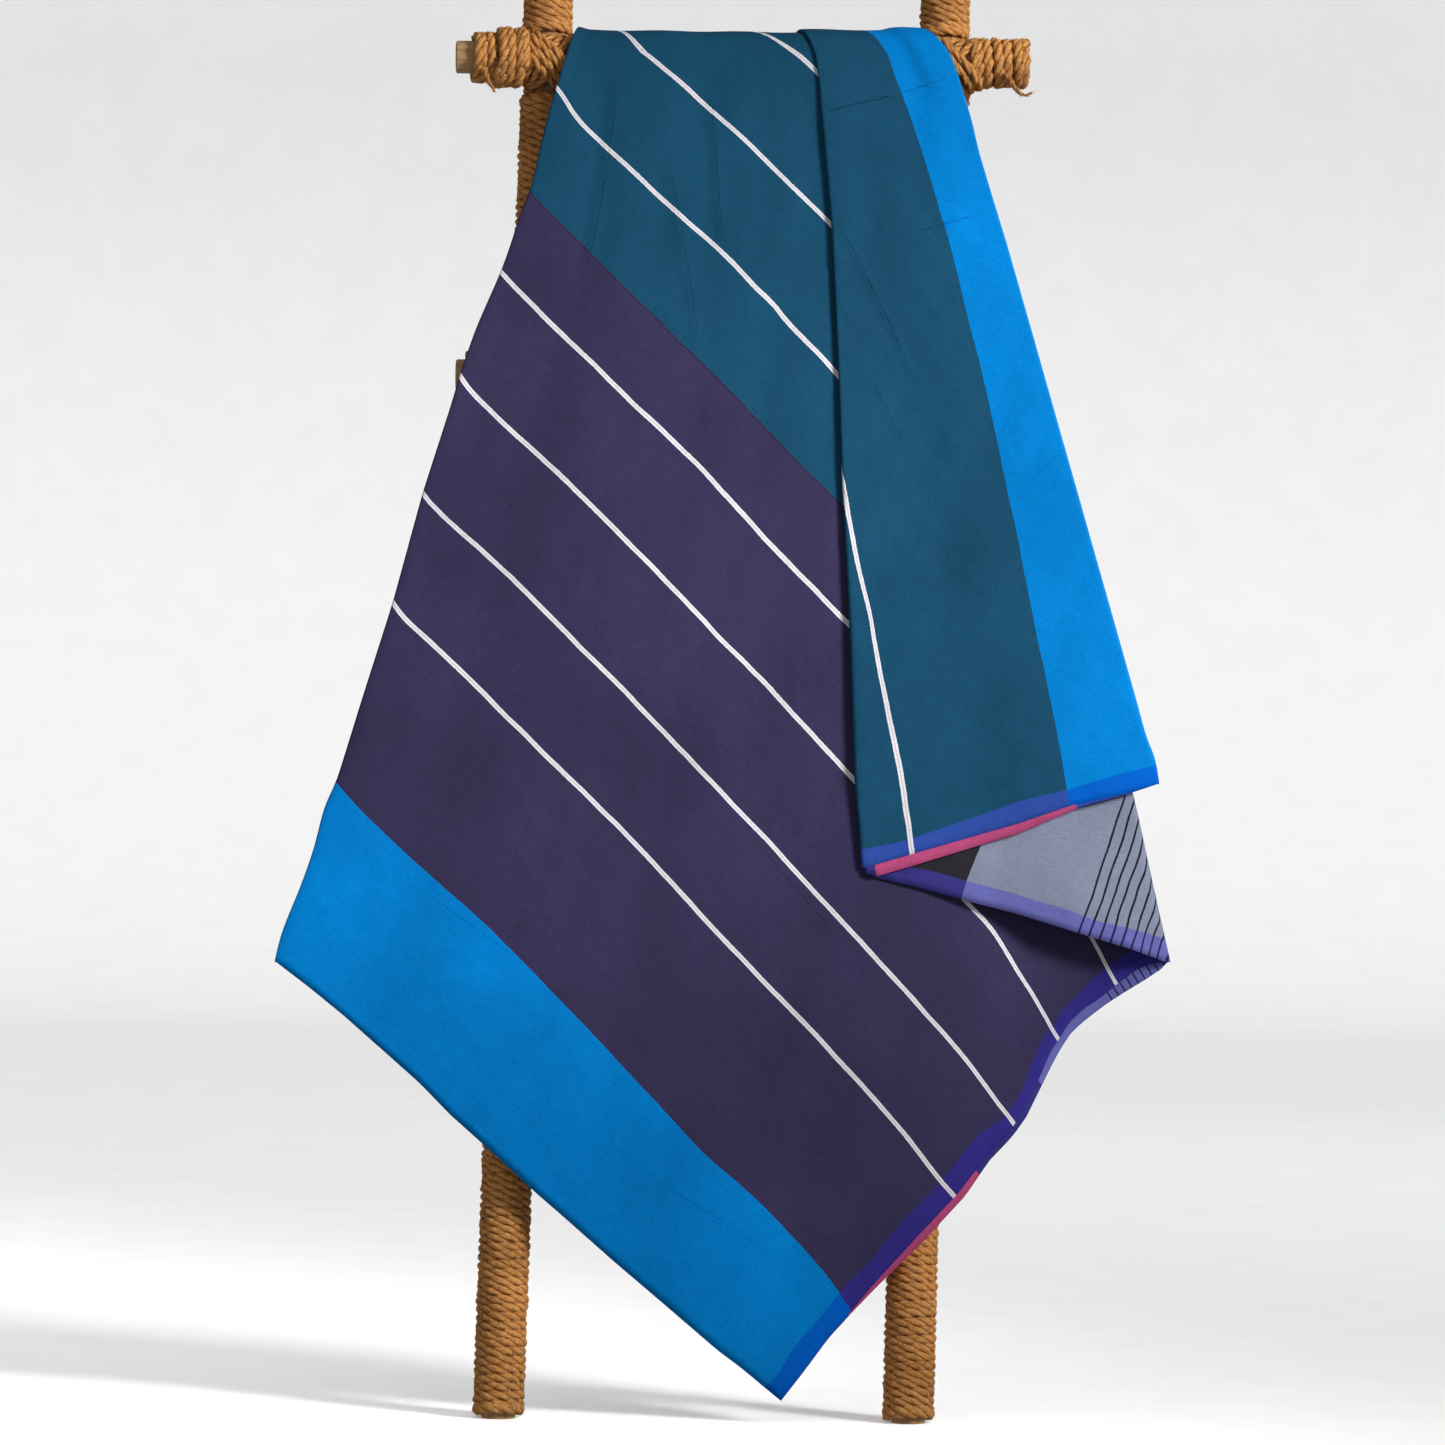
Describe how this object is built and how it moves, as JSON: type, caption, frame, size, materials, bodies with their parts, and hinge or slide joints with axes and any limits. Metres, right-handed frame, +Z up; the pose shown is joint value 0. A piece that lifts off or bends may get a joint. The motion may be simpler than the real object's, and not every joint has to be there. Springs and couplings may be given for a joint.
{
  "type": "quilt on a rack",
  "caption": "Light two-sided striped quilt hung cornerwise over the top rung of a leaning ladder rack of rope-wound wood poles and lashed rungs.",
  "frame": {"origin": "on the floor, at the middle of the whole object's box in plan", "axes": "+Z up; +X to the right seen from the front, along the rungs; -Y to the front, +Y to the wall the rack leans on"},
  "size_m": [0.934, 0.278, 1.6202],
  "materials": {
    "wood": "bare, lightly sanded",
    "rope": "laid coir rope, hairy, matt",
    "face_cloth": "plain-woven cotton with a soft sheen",
    "reverse_cloth": "plain-woven cotton, matt"
  },
  "bodies": {
    "rack": {"lashing_1_left": "rope", "lashing_1_right": "rope", "lashing_2_left": "rope", "lashing_2_right": "rope", "lashing_3_left": "rope", "lashing_3_right": "rope", "lashing_4_left": "rope", "lashing_4_right": "rope", "pole_left": "wood", "pole_right": "wood", "pole_rope_left_foot": "rope", "pole_rope_left_high": "rope", "pole_rope_left_low": "rope", "pole_rope_left_middle": "rope", "pole_rope_left_top": "rope", "pole_rope_right_foot": "rope", "pole_rope_right_high": "rope", "pole_rope_right_low": "rope", "pole_rope_right_middle": "rope", "pole_rope_right_top": "rope", "rung_1": "wood", "rung_2": "wood", "rung_3": "wood", "rung_4": "wood", "rung_rope_1_left": "rope", "rung_rope_1_middle": "rope", "rung_rope_1_right": "rope", "rung_rope_2_left": "rope", "rung_rope_2_middle": "rope", "rung_rope_2_right": "rope", "rung_rope_3_left": "rope", "rung_rope_3_middle": "rope", "rung_rope_3_right": "rope", "rung_rope_4_left": "rope", "rung_rope_4_middle": "rope", "rung_rope_4_right": "rope"},
    "quilt": {"quilt_face": "face_cloth", "quilt_backing": "reverse_cloth"}
  },
  "joints": [
    {"name": "quilt_lift", "type": "slide", "parent": "rack", "child": "quilt", "axis": [0, 0, 1], "range_m": [0, 1.62]}
  ]
}
